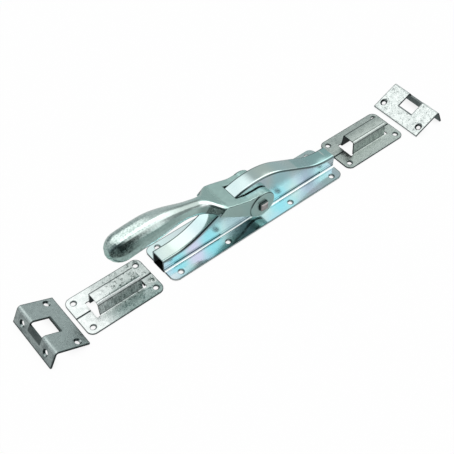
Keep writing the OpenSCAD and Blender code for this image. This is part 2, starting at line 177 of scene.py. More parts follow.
def sheet_rim_shade():
    """Painted shade line along the shorn outline of a flat sheet with round corners."""
    values = {"Mid X": 0, "Mid Y": 0, "Half X": 0.1, "Half Y": 0.1, "Corner": 0.008}
    tree, start, end = effect("sheet rim", values, ["Rim"])
    spot = put(tree, "ShaderNodeSeparateXYZ", i0=where_on(tree)).outputs
    past = []
    for axis in "XY":
        off = apart(tree, spot[axis], start["Mid " + axis])
        flat = calc(tree, "SUBTRACT", start["Half " + axis], start["Corner"])
        past.append(calc(tree, "SUBTRACT", off, flat))
    squares = [calc(tree, "POWER", either(tree, value, 0.0), 2.0) for value in past]
    round_off = calc(tree, "SQRT", calc(tree, "ADD", *squares))
    straight = calc(tree, "MINIMUM", either(tree, *past), 0.0)
    depth = calc(tree, "SUBTRACT", calc(tree, "ADD", round_off, straight), start["Corner"])
    tree.links.new(span(tree, depth, -0.0011, -0.0003), end["Rim"])
    return tree


def punched_ring_shade():
    """Painted shade ring round each of four punched holes on a rectangle."""
    values = {"Mid X": 0, "Mid Y": 0, "Half X": 0.1, "Half Y": 0.02, "Radius": 0.003}
    tree, start, end = effect("punched rings", values, ["Ring"])
    spot = put(tree, "ShaderNodeSeparateXYZ", i0=where_on(tree)).outputs
    squares = []
    for axis in "XY":
        off = apart(tree, spot[axis], start["Mid " + axis])
        from_hole = apart(tree, off, start["Half " + axis])
        squares.append(calc(tree, "POWER", from_hole, 2.0))
    away = calc(tree, "SUBTRACT", calc(tree, "SQRT", calc(tree, "ADD", *squares)), start["Radius"])
    tree.links.new(span(tree, away, 0.0013, 0.0006), end["Ring"])
    return tree


FACES = face_directions()
MARKS = drawing_marks()
CLOUDS = plate_clouds()
RIM = sheet_rim_shade()
RINGS = punched_ring_shade()
screws = {mount["name"]: mount for mount in frame["record"]["mounts"]}


def metal(name):
    """A bare metal material and its shader."""
    made = bpy.data.materials.new(name)
    made.use_nodes = True
    shader = made.node_tree.nodes["Principled BSDF"]
    shader.inputs["Metallic"].default_value = 1.0
    return made, made.node_tree, shader


def raise_up(tree, shader, height, strength, reach):
    """Bump from a height between nought and one."""
    bump = put(tree, "ShaderNodeBump", Strength=strength, Distance=reach, Height=height)
    tree.links.new(bump.outputs[0], shader.inputs["Normal"])


def edge_on(tree, face, thick):
    """Mask of the cut edges and hole walls of a flat sheet that lies on the floor."""
    steep = span(tree, size_of(tree, face["Up"]), 0.5, 0.2)
    return times(tree, steep, span(tree, face["Z"], thick + 0.0002, thick + 0.00005))


def outline_marks(tree, face, node, corner, thick, *patterns):
    """Mask of the painted shade lines along a sheet's outline and round its punched screw holes."""
    low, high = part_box(node)
    mask = place(tree, RIM, Mid_X=(low[0] + high[0]) / 2, Mid_Y=(low[1] + high[1]) / 2,
                 Half_X=(high[0] - low[0]) / 2, Half_Y=(high[1] - low[1]) / 2, Corner=corner)["Rim"]
    # the rings are set off along X, so that their painted shade is thicker on one side of each hole
    one_sided = 0.0006
    for pattern in patterns:
        middle, dims = screws[pattern]["pos_m"], screws[pattern]["dims"]
        half_x, half_y = dims["spacing_x_mm"] / 2000, dims["spacing_y_mm"] / 2000
        ring = place(tree, RINGS, Mid_X=middle[0] + one_sided, Mid_Y=middle[1], Half_X=half_x, Half_Y=half_y,
                     Radius=dims["hole_r_mm"] / 1000)["Ring"]
        mask = either(tree, mask, ring)
    return times(tree, mask, span(tree, face["Z"], thick + 0.0006, thick + 0.0002))


def turned_in(tree, face, middle):
    """Mask of the faces that look inwards or down, inside a channel over this middle line."""
    off = calc(tree, "SUBTRACT", face["Y"], middle)
    inward = span(tree, calc(tree, "MULTIPLY", face["Across"], off), -0.0008, -0.0035)
    return either(tree, inward, span(tree, face["Up"], -0.05, -0.25))


def dress(node, material):
    """The CAD piece takes this finish."""
    slots = nodes[node].data.materials
    slots.clear()
    slots.append(material)


def bands(tree, along, *places):
    """Mask of soft bands across the piece, each at a middle and as wide as its half."""
    mask = 0.0
    for middle, half in places:
        off = apart(tree, along, middle)
        mask = either(tree, mask, span(tree, off, half, half * 0.2))
    return mask


def case_zinc():
    """Passivated plate over the pressed sheet, with its bands of colour, painted shade at its bends, rims,
    cut edges, groove lines and inside, and painted highlights on its fold and top.
    """
    sheet, groove_shade, bright = 0.002, (0.06, 0.13, 0.15, 1), (0.93, 0.96, 0.96, 1)
    made, tree, shader = metal("case zinc")
    face = place(tree, FACES)
    clouds = place(tree, CLOUDS, Scale=17.0)
    marks = place(tree, MARKS, Scale=900.0)
    arched = times(tree, span(tree, face["Up"], 0.6, 0.85), span(tree, face["Z"], 0.008, 0.014))
    beyond = times(tree, span(tree, face["Y"], 0.0100, 0.0115), span(tree, face["Z"], 0.0030, 0.0022))
    tint = times(tree, span(tree, arched, 0.0, 1.0, 1.0, 0.3), span(tree, beyond, 0.0, 1.0, 1.0, 0.2))
    cyan = bands(tree, face["X"], (-0.108, 0.020), (-0.060, 0.022), (0.040, 0.024))
    lilac = bands(tree, face["X"], (-0.083, 0.016), (0.084, 0.018))
    cyan = either(tree, cyan, times(tree, clouds["Blue"], 0.5))
    lilac = either(tree, lilac, times(tree, clouds["Lilac"], 0.5))
    colour = tinted(tree, times(tree, cyan, tint), (0.74, 0.85, 0.84, 1), (0.54, 0.84, 0.89, 1))
    colour = tinted(tree, times(tree, lilac, tint, 0.75), colour, (0.80, 0.77, 0.91, 1))
    grey = times(tree, bands(tree, face["X"], (-0.072, 0.012)), arched,
                 span(tree, clouds["Lilac"], 0.0, 1.0, 0.5, 0.8))
    colour = tinted(tree, grey, colour, (0.56, 0.70, 0.74, 1))
    warm = bands(tree, face["X"], (-0.105, 0.030), (0.020, 0.022))
    colour = tinted(tree, times(tree, warm, arched, 0.7), colour, (0.84, 0.92, 0.85, 1))
    flat_end = times(tree, span(tree, face["X"], 0.064, 0.069), arched)
    colour = tinted(tree, times(tree, flat_end, 0.8), colour, (0.42, 0.68, 0.67, 1))
    # painted highlight: a pale line across the top of the hump near its right end
    crease = times(tree, bands(tree, face["X"], (0.1170, 0.0014)), arched,
                   span(tree, face["Y"], -0.004, 0.002))
    colour = tinted(tree, times(tree, crease, 0.8), colour, (0.92, 0.97, 0.95, 1))
    colour = tinted(tree, times(tree, clouds["Dull"], 0.55), colour, (0.42, 0.58, 0.60, 1))
    colour = tinted(tree, times(tree, marks["Scratch"], 0.3), colour, (0.88, 0.92, 0.92, 1))
    # painted shade on the cut edges, hole walls and end faces; the near edge of the flange is painted pale
    # instead
    ends = span(tree, size_of(tree, face["Along"]), 0.90, 0.97)
    cut = either(tree, edge_on(tree, face, sheet), times(tree, ends, 0.5))
    # painted shade along the sheet's outline and round its screw holes, fainter on the far flange
    rims = outline_marks(tree, face, "housing", 0.008, sheet, "case_outer_screws", "case_inner_screws")
    faint = times(tree, beyond, span(tree, face["X"], -0.02, 0.06))
    rims = times(tree, rims, span(tree, faint, 0.0, 1.0, 0.85, 0.25))
    colour = tinted(tree, rims, colour, (0.05, 0.08, 0.08, 1))
    far_end = times(tree, beyond, span(tree, face["X"], 0.04, 0.06))
    cut = times(tree, cut, span(tree, far_end, 0.0, 1.0, 1.0, 0.1))
    near_edge = times(tree, span(tree, face["Across"], -0.85, -0.97), span(tree, face["Y"], -0.0270, -0.0280))
    near_edge = times(tree, near_edge, span(tree, face["Z"], 0.0003, 0.0007))
    shorn = tinted(tree, near_edge, (0.05, 0.075, 0.08, 1), (0.72, 0.86, 0.87, 1))
    colour = tinted(tree, cut, colour, shorn)
    # painted shade along the bends of the hump
    lean = size_of(tree, face["Across"])
    bend = times(tree, span(tree, lean, 0.40, 0.62), span(tree, lean, 0.985, 0.90),
                 span(tree, face["Z"], 0.009, 0.012))
    far_bend = times(tree, span(tree, face["Across"], 0.12, 0.30), span(tree, face["Z"], 0.009, 0.012))
    bend = either(tree, bend, times(tree, far_bend, span(tree, lean, 0.985, 0.90)))
    colour = tinted(tree, times(tree, bend, 0.85), colour, (0.08, 0.12, 0.12, 1))
    # painted shade in two lines along the pressed groove of each wall
    wall = times(tree, span(tree, lean, 0.90, 0.97), span(tree, face["Z"], 0.0036, 0.0042))
    for height, thin, strength in ((0.0047, 0.0008, 0.9), (0.0082, 0.0004, 0.6)):
        off = apart(tree, face["Z"], height)
        line = times(tree, wall, span(tree, off, thin + 0.0003, thin), strength)
        colour = tinted(tree, line, colour, groove_shade)
    # painted highlight along the fold at the foot of each wall
    fold = times(tree, span(tree, lean, 0.10, 0.22), span(tree, lean, 0.99, 0.95),
                 span(tree, face["Z"], 0.0048, 0.0040))
    colour = tinted(tree, fold, colour, bright)
    # painted shade on the faces inside the hump
    inner = times(tree, turned_in(tree, face, 0.0), span(tree, size_of(tree, face["Y"]), 0.0106, 0.0100))
    colour = tinted(tree, inner, colour, (0.06, 0.08, 0.08, 1))
    tree.links.new(colour, shader.inputs["Base Color"])
    rough = span(tree, calc(tree, "ADD", marks["Mark"], clouds["Dull"]), 0.3, 1.6, 0.11, 0.24)
    rough = calc(tree, "ADD", rough, times(tree, wall, 0.10))
    rough = calc(tree, "ADD", rough, times(tree, either(tree, cut, inner), 0.3))
    tree.links.new(rough, shader.inputs["Roughness"])
    raise_up(tree, shader, marks["Mark"], 0.06, 0.0004)
    return made


def swap(node, shape, name, body, material):
    """A finer shape takes the CAD piece's place on its body."""
    made = bpy.data.objects.new(name, shape)
    bpy.context.scene.collection.objects.link(made)
    shape.materials.clear()
    shape.materials.append(material)
    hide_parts(node)
    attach(made, body)


def pressed(node, sharp):
    """The CAD shape with its curves shaded smooth, and edges sharper than this angle kept."""
    shape = nodes[node].data.copy()
    shape.attributes.remove(shape.attributes["custom_normal"])
    work = bmesh.new()
    work.from_mesh(shape)
    bmesh.ops.remove_doubles(work, verts=work.verts, dist=1e-6)
    work.to_mesh(shape)
    work.free()
    shape.shade_smooth()
    shape.set_sharp_from_angle(angle=math.radians(sharp))
    return shape


swap("housing", pressed("housing", 20), "pressed_case", "case", case_zinc())


# The lever: one casting, a fork that straddles the hump and a club grip for the hand.
# It is galvanised over a sand-cast skin, so every edge is rounded and the fork is an even dull
# grey. The grip is polished by hands and painted pale on top as a highlight, and it is pitted
# at its low end under a painted dark reflection; painted shade lines the fork and dims the neck.
def casting(node, voxel, rounds):
    """The CAD shape with its edges rounded off as a casting's are."""
    rough_out = bpy.data.objects.new("rough casting", nodes[node].data.copy())
    bpy.context.scene.collection.objects.link(rough_out)
    grain = rough_out.modifiers.new("skin", "REMESH")
    grain.mode = "VOXEL"
    grain.voxel_size = voxel
    grain.use_smooth_shade = True
    soft = rough_out.modifiers.new("soft", "SMOOTH")
    soft.factor = 0.5
    soft.iterations = rounds
    seen = bpy.context.evaluated_depsgraph_get()
    shape = bpy.data.meshes.new_from_object(rough_out.evaluated_get(seen))
    bpy.data.objects.remove(rough_out)
    return shape


def flowing(shape, low, high, rounds):
    """The casting smoothed further between two places along it, most of all midway."""
    work = bmesh.new()
    work.from_mesh(shape)
    middle, half = (low + high) / 2, (high - low) / 2
    for step in range(rounds):
        reach = half * (1 - 0.5 * step / rounds)
        near = [point for point in work.verts if abs(point.co.x - middle) < reach]
        bmesh.ops.smooth_vert(work, verts=near, factor=0.5, use_axis_x=True, use_axis_y=True, use_axis_z=True)
    work.to_mesh(shape)
    work.free()
    return shape


def cast_skin():
    """Grain, pits and dull patches of a sand-cast skin under thin zinc."""
    tree, start, end = effect("cast skin", {"Scale": 420.0}, ["Grain", "Pit", "Patch", "Wave"])
    where = where_on(tree)
    tree.links.new(noise(tree, where, calc(tree, "MULTIPLY", start["Scale"], 2.2), 2.0), end["Grain"])
    small = put(tree, "ShaderNodeTexVoronoi", {"feature": "SMOOTH_F1"}, Vector=where, Scale=start["Scale"])
    tree.links.new(span(tree, small.outputs["Distance"], 0.52, 0.2), end["Pit"])
    tree.links.new(span(tree, noise(tree, where, 75.0, 4.0, 0.7), 0.44, 0.60), end["Patch"])
    tree.links.new(noise(tree, where, 210.0, 3.0), end["Wave"])
    return tree


SKIN = cast_skin()


def lever_zinc():
    """Zinc over the casting: a dull fork with painted shade along its edges, joints and shoulder, a grip
    painted pale on top, painted shade on the neck and low end, and a painted highlight below the neck.
    """
    shaft_x, shaft_z, eye_radius, line_shade = 0.003, 0.029, 0.0174, (0.08, 0.11, 0.11, 1)
    made, tree, shader = metal("lever zinc")
    face = place(tree, FACES)
    skin = place(tree, SKIN, Scale=430.0)
    clouds = place(tree, CLOUDS, Scale=20.0)
    grip = span(tree, face["X"], -0.060, -0.085)
    # painted dark reflection over the lower near side of the grip, strongest at its low end and broken by the
    # cast grain
    shade_reach = either(tree, span(tree, face["X"], -0.085, -0.110, 0.0, 0.3),
                    span(tree, face["X"], -0.138, -0.170))
    sideways = calc(tree, "ADD", face["Across"], span(tree, face["X"], -0.160, -0.180, 0.0, -0.22))
    low_end_shade = times(tree, shade_reach, span(tree, sideways, -0.42, -0.62), span(tree, face["Up"], 0.0, 0.22),
                    span(tree, skin["Patch"], 0.0, 1.0, 1.0, 0.8))
    colour = tinted(tree, clouds["Blue"], (0.54, 0.73, 0.69, 1), (0.50, 0.72, 0.69, 1))
    # the grip is painted paler than the fork, palest on top, as a painted highlight over its hand polish; its
    # flanks are painted darker
    colour = tinted(tree, grip, colour, (0.86, 0.95, 0.92, 1))
    flank_shade = times(tree, grip, span(tree, face["Up"], 0.75, 0.40))
    colour = tinted(tree, flank_shade, colour, (0.62, 0.84, 0.79, 1))
    # painted shade dims the top and near side of the neck
    neck = times(tree, span(tree, face["X"], -0.130, -0.088), span(tree, face["X"], -0.064, -0.074),
                 span(tree, face["Across"], 0.14, -0.02), span(tree, face["Across"], -0.86, -0.74),
                 span(tree, face["Up"], 0.2, 0.4))
    colour = tinted(tree, neck, colour, (0.42, 0.48, 0.46, 1))
    # painted shade under the neck where it meets the fork
    throat_shade = times(tree, span(tree, face["X"], -0.082, -0.070), span(tree, face["X"], -0.060, -0.066),
                   span(tree, face["Up"], 0.55, 0.35))
    colour = tinted(tree, throat_shade, colour, (0.38, 0.51, 0.48, 1))
    club = span(tree, face["X"], -0.120, -0.155, 0.14, 0.45)
    grainy = times(tree, span(tree, skin["Grain"], 0.35, 0.65), grip, club)
    colour = tinted(tree, grainy, colour, (0.42, 0.55, 0.51, 1))
    low_end_shade = times(tree, span(tree, skin["Grain"], 0.62, 0.50, 0.55, 1.0), low_end_shade)
    colour = tinted(tree, low_end_shade, colour, (0.04, 0.06, 0.055, 1))
    colour = tinted(tree, times(tree, skin["Pit"], grip, club), colour, (0.28, 0.38, 0.35, 1))
    # painted highlight on the heel of the fork
    tilt = calc(tree, "SUBTRACT", face["Up"], span(tree, face["X"], -0.066, -0.048, 0.0, 0.40))
    heel = times(tree, span(tree, face["X"], -0.074, -0.067), span(tree, face["X"], -0.047, -0.051),
                 span(tree, tilt, 0.34, 0.46), span(tree, face["Across"], -0.15, -0.32))
    colour = tinted(tree, heel, colour, (0.95, 0.98, 0.97, 1))
    # painted shade under the near shoulder of the fork, broken by the cast grain
    under = times(tree, span(tree, face["X"], -0.072, -0.064), span(tree, face["X"], -0.043, -0.048),
                  span(tree, face["Along"], -0.20, -0.40), span(tree, tilt, 0.44, 0.32),
                  span(tree, size_of(tree, face["Across"]), 0.30, 0.55))
    under = times(tree, under, span(tree, skin["Grain"], 0.40, 0.60, 1.0, 0.55))
    colour = tinted(tree, under, colour, (0.07, 0.10, 0.09, 1))
    # painted shade in thin lines round the eye's boss, round the shaft, along the shoulder's edge and at the
    # crotch
    across = calc(tree, "SUBTRACT", face["X"], shaft_x)
    above = calc(tree, "SUBTRACT", face["Z"], shaft_z)
    squares = calc(tree, "ADD", times(tree, across, across), times(tree, above, above))
    from_axis = calc(tree, "SQRT", squares)
    out = size_of(tree, face["Y"])
    rim = times(tree, span(tree, apart(tree, from_axis, eye_radius), 0.0007, 0.0003),
                span(tree, out, 0.0200, 0.0206), span(tree, across, 0.004, -0.004))
    shaft = either(tree, size_of(tree, across), size_of(tree, above))
    joint = times(tree, span(tree, shaft, 0.0062, 0.0054), span(tree, out, 0.021, 0.022))
    lean = size_of(tree, face["Across"])
    ridge = times(tree, span(tree, lean, 0.25, 0.45), span(tree, lean, 0.97, 0.88),
                  span(tree, face["X"], -0.047, -0.043), span(tree, out, 0.0195, 0.0200),
                  span(tree, face["Up"], 0.1, 0.25))
    crotch = times(tree, span(tree, face["X"], -0.0284, -0.0276), span(tree, face["Up"], 0.15, 0.4),
                   span(tree, out, 0.0122, 0.0114))
    lines = either(tree, times(tree, rim, 0.75), joint, ridge, crotch)
    colour = tinted(tree, times(tree, lines, 0.9), colour, line_shade)
    # painted shade on the inner faces of the fork's cheeks
    between = times(tree, span(tree, times(tree, face["Across"], face["Y"]), -0.002, -0.006),
                    span(tree, face["X"], -0.032, -0.026))
    colour = tinted(tree, times(tree, between, 0.85), colour, (0.05, 0.07, 0.07, 1))
    tree.links.new(colour, shader.inputs["Base Color"])
    rough = span(tree, skin["Wave"], 0.3, 0.7, 0.15, 0.22)
    rough = calc(tree, "ADD", rough, span(tree, face["X"], -0.052, -0.042, 0.0, 0.14))
    tree.links.new(rough, shader.inputs["Roughness"])
    pits = calc(tree, "SUBTRACT", times(tree, skin["Wave"], 1.4), times(tree, skin["Pit"], grip, 0.3))
    raise_up(tree, shader, calc(tree, "ADD", pits, times(tree, skin["Grain"], 0.2)), 0.12, 0.0006)
    return made


cast_fork = flowing(casting("handle_lever", 0.0006, 4), -0.080, -0.038, 28)
swap("handle_lever", cast_fork, "cast_lever", "lever", lever_zinc())


# The drive: a square shaft riveted over in the eyes, brass bushes in the walls of the hump,
# and inside it the rocker, studs and drivers, all cut from plain zinc-plated bar.
def bar_metal(name, pale, dark, rough, shade=0.0):
    """Plain bar with drawing marks, with painted shade on its sides by the shade amount."""
    made, tree, shader = metal(name)
    marks = place(tree, MARKS, Scale=1400.0)
    skin = place(tree, SKIN, Scale=500.0)
    colour = tinted(tree, skin["Patch"], pale, dark)
    # painted shade on the faces that look sideways
    flank_shade = span(tree, calc(tree, "ABSOLUTE", place(tree, FACES)["Across"]), 0.6, 0.3)
    colour = tinted(tree, times(tree, flank_shade, shade), colour, (0.06, 0.08, 0.08, 1))
    tree.links.new(colour, shader.inputs["Base Color"])
    tree.links.new(span(tree, marks["Mark"], 0.2, 0.8, rough - 0.08, rough + 0.1), shader.inputs["Roughness"])
    raise_up(tree, shader, calc(tree, "ADD", marks["Mark"], skin["Wave"]), 0.12, 0.0004)
    return made


# the shaft's sides take painted shade
dress("drive_shaft", bar_metal("riveted shaft end", (0.60, 0.55, 0.54, 1), (0.36, 0.36, 0.36, 1), 0.36, 0.9))
bush_brass = bar_metal("turned brass", (0.80, 0.62, 0.30, 1), (0.62, 0.46, 0.20, 1), 0.28)
drive_zinc = bar_metal("drive zinc", (0.58, 0.62, 0.63, 1), (0.42, 0.46, 0.47, 1), 0.32)
stud_steel = bar_metal("turned stud", (0.70, 0.72, 0.73, 1), (0.58, 0.60, 0.61, 1), 0.22)
for bush in ("near_bush", "far_bush"):
    dress(bush, bush_brass)
for piece in ("rocker", "left_driver", "right_driver"):
    dress(piece, drive_zinc)
for stud in ("upper_stud", "lower_stud"):
    dress(stud, stud_steel)


# The rod guides: sheet folded to a channel, the end tabs meeting at an open seam.
# They are cut from galvanised coil, so the zinc shows crystals and the dark strokes of
# handling. Painted shade darkens the shorn edges, bends, rims, seam and the inside of the
# channel, a painted highlight runs along the near bend, and a painted pale reflection lies
# over the outer end of the left guide.
def coil_zinc():
    """Crystals of a galvanised sheet, the curled strokes of handling, and fine specks."""
    tree, start, end = effect("coil zinc", {"Scale": 170.0}, ["Crystal", "Stroke", "Speck"])
    where = where_on(tree)
    ripple = put(tree, "ShaderNodeTexNoise", Vector=where, Scale=90.0).outputs["Color"]
    shift = put(tree, "ShaderNodeVectorMath", {"operation": "SCALE"}, i0=ripple, Scale=0.006).outputs[0]
    bent = put(tree, "ShaderNodeVectorMath", {"operation": "ADD"}, i0=where, i1=shift).outputs[0]
    cells = put(tree, "ShaderNodeTexVoronoi", Vector=bent, Scale=start["Scale"]).outputs["Color"]
    tree.links.new(put(tree, "ShaderNodeSeparateXYZ", i0=cells).outputs["X"], end["Crystal"])
    curls = noise(tree, where, calc(tree, "MULTIPLY", start["Scale"], 0.75), 0.0, 0.5, 1.4)
    line = span(tree, apart(tree, curls, 0.5), 0.065, 0.030)
    broken = span(tree, noise(tree, where, calc(tree, "MULTIPLY", start["Scale"], 0.6), 1.0), 0.47, 0.52)
    tree.links.new(times(tree, line, broken), end["Stroke"])
    fine = noise(tree, where, calc(tree, "MULTIPLY", start["Scale"], 2.6), 2.0)
    tree.links.new(span(tree, fine, 0.56, 0.66), end["Speck"])
    return tree


COIL = coil_zinc()


def sheet_zinc(name, pale, mid, dark, scale, strokes, specks, rough):
    """Galvanised sheet before its edges are dealt with: material, shader, faces and colour."""
    made, tree, shader = metal(name)
    zinc = place(tree, COIL, Scale=scale)
    clouds = place(tree, CLOUDS, Scale=24.0)
    colour = tinted(tree, zinc["Crystal"], pale, mid)
    colour = tinted(tree, times(tree, clouds["Dull"], 0.25), colour, mid)
    colour = tinted(tree, times(tree, zinc["Stroke"], strokes), colour, dark)
    colour = tinted(tree, times(tree, zinc["Speck"], specks), colour, dark)
    dulling = span(tree, zinc["Crystal"], 0.0, 1.0, rough - 0.07, rough + 0.09)
    tree.links.new(dulling, shader.inputs["Roughness"])
    flaws = calc(tree, "ADD", zinc["Stroke"], zinc["Speck"])
    dents = calc(tree, "SUBTRACT", times(tree, zinc["Crystal"], 0.2), flaws)
    raise_up(tree, shader, dents, 0.14, 0.0003)
    return made, tree, shader, place(tree, FACES), colour


def guide_zinc(node, middle, pale, mid, dark, strokes, specks, shine):
    """Finish of one guide; middle is the line of its channel, shine how strong the painted highlight on its
    near bend is and how far its near flange is darkened.
    """
    sheet, roof, line_shade = 0.0015, 0.0180, (0.05, 0.07, 0.07, 1)
    look = (pale, mid, dark, 280.0, strokes, specks, 0.30)
    made, tree, shader, face, colour = sheet_zinc(node + " zinc", *look)
    lean = size_of(tree, face["Across"])
    off = apart(tree, face["Y"], middle)
    # painted pale reflection over the outer end of the left guide
    colour = tinted(tree, span(tree, face["X"], -0.175, -0.212, 0.0, 0.9), colour, (0.95, 0.97, 0.96, 1))
    inland = span(tree, face["X"], -0.215, -0.190)
    apron = times(tree, span(tree, face["Y"], middle - 0.010, middle - 0.016), inland)
    colour = tinted(tree, times(tree, apron, 0.4 * shine), colour, (0.36, 0.50, 0.49, 1))
    behind = times(tree, span(tree, face["Y"], middle + 0.010, middle + 0.013), inland)
    colour = tinted(tree, times(tree, behind, 0.3), colour, (0.42, 0.47, 0.46, 1))
    ends = span(tree, size_of(tree, face["Along"]), 0.8, 0.95)
    cut = either(tree, edge_on(tree, face, sheet), ends)
    wall = times(tree, span(tree, face["Z"], 0.0022, 0.004), span(tree, lean, 0.90, 0.985))
    near = span(tree, calc(tree, "SUBTRACT", face["Y"], middle), 0.001, -0.001)
    runs = noise(tree, where_on(tree, (1.0, 1.0, 0.25)), 420.0, 3.0, 0.65)
    runs = span(tree, runs, 0.36, 0.64, 0.05, 0.60)
    colour = tinted(tree, times(tree, wall, runs), colour, dark)
    # painted highlight along the near bend of the channel
    arris_highlight = times(tree, span(tree, off, 0.0068, 0.0074), span(tree, face["Z"], 0.0160, 0.0166), near)
    colour = tinted(tree, times(tree, arris_highlight, shine), colour, (0.95, 0.97, 0.96, 1))
    # painted shade in lines along the bends, at the wall's foot, round the outline and holes, and in the seam
    near_bend = times(tree, bands(tree, off, (0.0062, 0.0008)),
                      span(tree, face["Z"], roof - 0.0004, roof), near)
    wall_bend = times(tree, bands(tree, face["Z"], (0.0155, 0.0011)), wall)
    far_bend = times(tree, span(tree, off, 0.0062, 0.0068), span(tree, face["Z"], 0.0150, 0.0160),
                     calc(tree, "SUBTRACT", 1.0, near))
    foot = times(tree, span(tree, lean, 0.60, 0.80), span(tree, lean, 0.985, 0.95),
                 span(tree, face["Z"], 0.004, 0.003))
    bent = either(tree, near_bend, wall_bend, far_bend, foot)
    rims = outline_marks(tree, face, node, 0.008, sheet, node + "_screws")
    seam = times(tree, span(tree, off, 0.0013, 0.0009), span(tree, face["Z"], 0.0030, 0.0020))
    lines = either(tree, times(tree, bent, 0.85), rims, seam)
    colour = tinted(tree, times(tree, lines, 0.9), colour, line_shade)
    # painted shade on the cut edges and end faces
    colour = tinted(tree, cut, colour, line_shade)
    # painted shade inside the channel
    hollow_shade = times(tree, turned_in(tree, face, middle), span(tree, face["Z"], 0.0005, 0.0016))
    colour = tinted(tree, hollow_shade, colour, (0.08, 0.10, 0.10, 1))
    tree.links.new(colour, shader.inputs["Base Color"])
    return made


left_sheet = guide_zinc("left_guide", -0.0024, (0.74, 0.78, 0.76, 1), (0.65, 0.70, 0.68, 1),
                        (0.10, 0.13, 0.12, 1), 1.0, 0.15, 1.0)
right_sheet = guide_zinc("right_guide", -0.0002, (0.62, 0.67, 0.63, 1), (0.54, 0.59, 0.56, 1),
                         (0.22, 0.26, 0.25, 1), 0.35, 0.25, 0.25)
swap("left_guide", pressed("left_guide", 25), "folded_left_guide", "case", left_sheet)
swap("right_guide", pressed("right_guide", 25), "folded_right_guide", "case", right_sheet)


# The strikes: short angles of plated sheet with a square hole across the fold for the rod's
# tip and countersunk holes in both legs. One is dull and darker, the other pale and freckled.
# Painted shade darkens the shorn edges, square holes, outlines and countersinks of both, and a
# lighter painted shade greys their undersides; the dull one's fold has a painted highlight and
# the pale one's fold painted shade.
def strike_zinc(node, toward, pale, mid, dark, strokes, specks, mottle, sink, crease):
    """Finish of one strike; toward says which way along X its long leg runs from the fold."""
    look = (pale, mid, dark, 300.0, strokes, specks, 0.32)
    made, tree, shader, face, colour = sheet_zinc(node + " zinc", *look)
    skin = place(tree, SKIN, Scale=300.0)
    steep = span(tree, face["Up"], 0.75, 0.55)
    colour = tinted(tree, times(tree, skin["Patch"], steep, mottle), colour, dark)
    low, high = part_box(node)
    middle = (low[1] + high[1]) / 2
    outer = high[0] if toward > 0 else low[0]
    leg_run, hole_run, hole_half, past_fold, lip = 0.0361, 0.0197, 0.011, 0.006, 0.0014
    fold = outer - toward * leg_run
    hole_mid = fold + toward * (hole_run - past_fold) / 2
    window = place(tree, RIM, Mid_X=hole_mid, Mid_Y=middle, Half_X=(hole_run + past_fold) / 2 + lip,
                   Half_Y=hole_half + lip, Corner=0.0015)["Rim"]
    rim = place(tree, RIM, Mid_X=(low[0] + high[0]) / 2, Mid_Y=middle, Half_X=(high[0] - low[0]) / 2,
                Half_Y=(high[1] - low[1]) / 2, Corner=0.0008)["Rim"]
    screw = screws[node + "_long_leg_screws"]
    sunk = place(tree, RINGS, Mid_X=screw["pos_m"][0], Mid_Y=screw["pos_m"][1], Half_X=0.0,
                 Half_Y=screw["dims"]["pcd_mm"] / 2000, Radius=0.0034)["Ring"]
    # the colour given for the crease is painted along the fold: a painted highlight on the left strike and
    # painted shade on the right
    creased = times(tree, span(tree, face["Up"], 0.86, 0.80), span(tree, face["Up"], 0.50, 0.60))
    colour = tinted(tree, times(tree, creased, span(tree, skin["Patch"], 0.0, 1.0, 0.9, 0.3)), colour, crease)
    # painted shade in the square hole, along the outline and in the countersinks
    lines = either(tree, calc(tree, "SUBTRACT", 1.0, window), rim)
    lines = either(tree, lines, times(tree, sunk, sink))
    lines = times(tree, lines, span(tree, face["Up"], 0.2, 0.4), 0.85)
    colour = tinted(tree, lines, colour, (0.07, 0.09, 0.09, 1))
    # painted shade on the shorn edges, and a lighter painted shade on the undersides and inner faces
    cut = either(tree, span(tree, size_of(tree, face["Across"]), 0.25, 0.5),
                 span(tree, face["Up"], 0.05, -0.2))
    inside = times(tree, span(tree, face["Up"], -0.25, -0.40), span(tree, face["Up"], -0.65, -0.50))
    beneath = span(tree, face["Up"], -0.70, -0.80)
    shade = either(tree, inside, beneath)
    shade = tinted(tree, shade, (0.04, 0.055, 0.055, 1), (0.32, 0.40, 0.39, 1))
    colour = tinted(tree, cut, colour, shade)
    tree.links.new(colour, shader.inputs["Base Color"])
    return made


dress("left_strike", strike_zinc("left_strike", 1, (0.56, 0.62, 0.61, 1), (0.50, 0.57, 0.56, 1),
                                 (0.20, 0.24, 0.24, 1), 0.15, 0.35, 0.6, 0.25, (0.92, 0.95, 0.94, 1)))
dress("right_strike", strike_zinc("right_strike", -1, (0.90, 0.93, 0.91, 1), (0.84, 0.88, 0.86, 1),
                                  (0.10, 0.13, 0.13, 1), 0.5, 0.6, 0.3, 1.0, (0.25, 0.29, 0.29, 1)))


